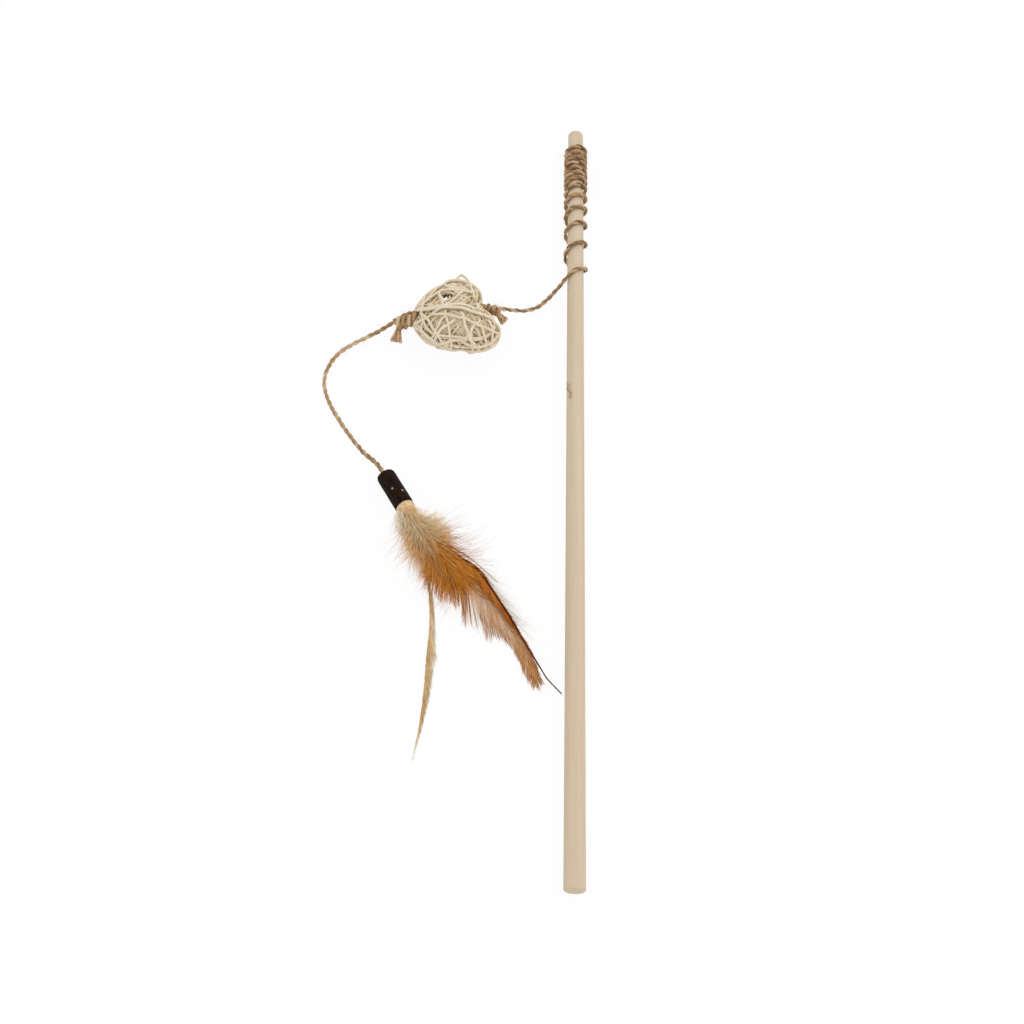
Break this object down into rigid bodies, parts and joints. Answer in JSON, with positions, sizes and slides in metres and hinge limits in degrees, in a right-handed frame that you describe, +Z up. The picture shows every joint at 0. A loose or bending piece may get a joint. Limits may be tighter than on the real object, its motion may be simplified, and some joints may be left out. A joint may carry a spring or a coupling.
{
  "type": "cat teaser wand",
  "caption": "Wooden stick with jute twine wound round its tip, a woven rattan heart on the twine, and a capped lure of soft feathers on a second twine.",
  "frame": {"origin": "centre of the dowel's foot face, the end that is held", "axes": "+Y along the dowel to its wound tip, +Z up from the table that it lies on, the heart and feathers on the -X side"},
  "size_m": [0.1242, 0.4, 0.0235],
  "materials": {
    "dowel_wood": "bare sanded wood",
    "jute": "rough twisted fibre",
    "rattan": "bare vine",
    "cap_leather": "dark, creased, slight gloss",
    "glue": "set glue",
    "tan_vane": "feather barbs",
    "rust_vane": "feather barbs",
    "straw_vane": "feather barbs",
    "white_fluff": "down"
  },
  "bodies": {
    "wand": {"dowel": "dowel_wood", "tip_winding": "jute"},
    "upper_cord": {"upper_twine": "jute"},
    "heart": {"rim_vines": "rattan", "left_slant_vines": "rattan", "right_slant_vines": "rattan", "cross_vines": "rattan", "long_vines": "rattan", "cleft_knot": "jute", "point_knot": "jute"},
    "lower_cord": {"lower_twine": "jute"},
    "feather_lure": {"cap_sleeve": "cap_leather", "glue_plug": "glue", "tucked_end": "jute", "tan_feather": "tan_vane", "rust_feather": "rust_vane", "straw_feather": "straw_vane", "tan_down": "tan_vane", "white_down": "white_fluff"}
  },
  "joints": [
    {"name": "cord_swing", "type": "hinge", "parent": "wand", "child": "upper_cord", "pos_m": [0, 0.3, 0], "axis": [0, 1, 0], "range_deg": [-195, 165]},
    {"name": "heart_swing", "type": "hinge", "parent": "upper_cord", "child": "heart", "pos_m": [-0.03922, 0.27013, 0.00285], "axis": [0, 0, 1], "range_deg": [-40, 0]},
    {"name": "lower_cord_swing", "type": "hinge", "parent": "heart", "child": "lower_cord", "pos_m": [-0.0847, 0.26136, 0.00334], "axis": [0, 0, 1], "range_deg": [-70, 0]},
    {"name": "feather_swing", "type": "hinge", "parent": "lower_cord", "child": "feather_lure", "pos_m": [-0.08331, 0.17656, -0.00116], "axis": [0, 0, 1], "range_deg": [-70, 0]}
  ]
}
